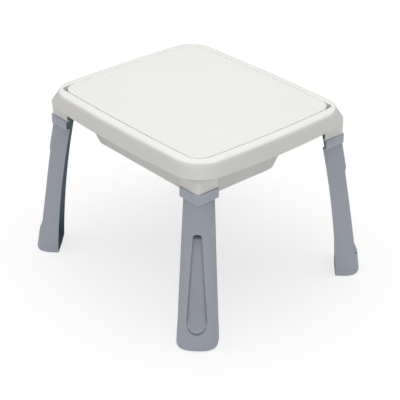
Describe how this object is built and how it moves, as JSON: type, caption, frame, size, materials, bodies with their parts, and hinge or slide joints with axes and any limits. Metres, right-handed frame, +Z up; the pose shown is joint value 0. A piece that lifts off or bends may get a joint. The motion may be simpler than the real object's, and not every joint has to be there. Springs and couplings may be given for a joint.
{
  "type": "kids table",
  "caption": "Low children's table: lift-off lid over a hanging storage tub, flared rim and four splayed half-round plug-in legs.",
  "frame": {"origin": "on the floor, under the middle of the table top", "axes": "+Z up, X along the longer side of the top, -Y the front where the tub reaches the edge"},
  "size_m": [0.757, 0.6604, 0.5],
  "materials": {
    "lid_plastic": "fine matt moulded texture, off-white",
    "frame_plastic": "satin moulded plastic, off-white",
    "tub_plastic": "satin moulded plastic, off-white",
    "leg_plastic": "satin moulded plastic, blue-grey",
    "screw_steel": "zinc-plated"
  },
  "bodies": {
    "table": {"top_frame": "frame_plastic", "leg_front_left": "leg_plastic", "leg_front_right": "leg_plastic", "leg_back_left": "leg_plastic", "leg_back_right": "leg_plastic", "leg_screws": "screw_steel"},
    "tub": {"storage_tub": "tub_plastic", "tub_flange": "tub_plastic", "tub_tray": "tub_plastic"},
    "lid": {"lid": "lid_plastic"}
  },
  "joints": [
    {"name": "tub_lift", "type": "slide", "parent": "table", "child": "tub", "axis": [0, 0, 1], "range_m": [0, 0.16]},
    {"name": "lid_lift", "type": "slide", "parent": "tub", "child": "lid", "axis": [0, 0, 1], "range_m": [0, 0.12]}
  ]
}
